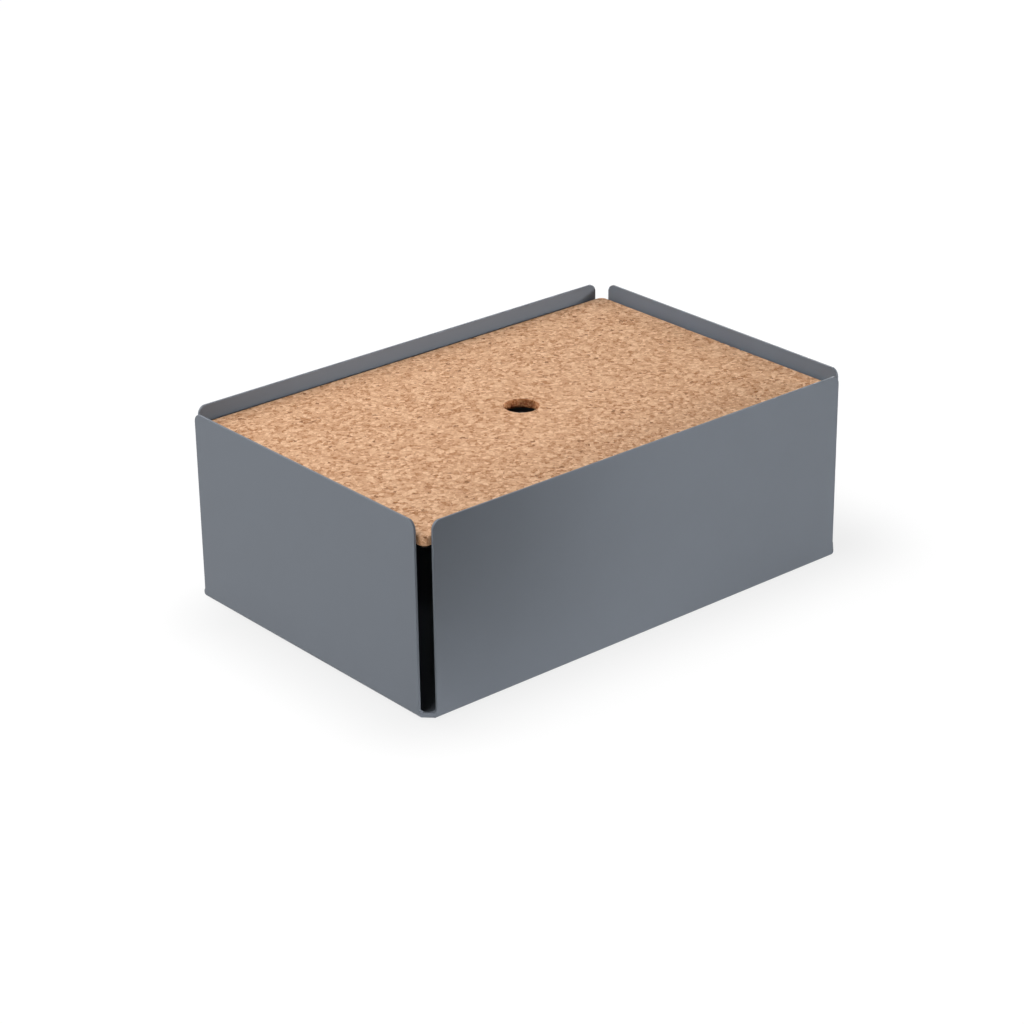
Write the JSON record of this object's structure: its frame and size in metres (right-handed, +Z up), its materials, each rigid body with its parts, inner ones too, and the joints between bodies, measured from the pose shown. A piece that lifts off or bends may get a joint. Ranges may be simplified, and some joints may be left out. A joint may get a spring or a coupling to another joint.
{
  "type": "cable management box",
  "caption": "Folded steel box with open upright corners for leads, and a loose cork lid with a round cable hole, to hide a power strip and its cords.",
  "frame": {"origin": "on the floor, under the middle of the box", "axes": "+X along the long walls, +Y towards the back long wall, +Z up"},
  "size_m": [0.36, 0.24, 0.1325],
  "materials": {
    "powder_coat": "satin blue-grey powder coat with a very fine texture",
    "cork": "bare granulated cork, fine to medium grain",
    "black_board": "matt black fibreboard",
    "foot_rubber": "matt black rubber"
  },
  "bodies": {
    "box": {"folded_body": "powder_coat", "lid_bracket_front_left": "powder_coat", "lid_bracket_front_right": "powder_coat", "lid_bracket_back_left": "powder_coat", "lid_bracket_back_right": "powder_coat", "lid_bracket_left": "powder_coat", "lid_bracket_right": "powder_coat", "foot_front_left": "foot_rubber", "foot_front_right": "foot_rubber", "foot_back_left": "foot_rubber", "foot_back_right": "foot_rubber"},
    "lid": {"cork_panel": "cork", "lid_backing_board": "black_board"}
  },
  "joints": [
    {"name": "lid_lift", "type": "slide", "parent": "box", "child": "lid", "axis": [0, 0, 1], "range_m": [0, 0.15]}
  ]
}
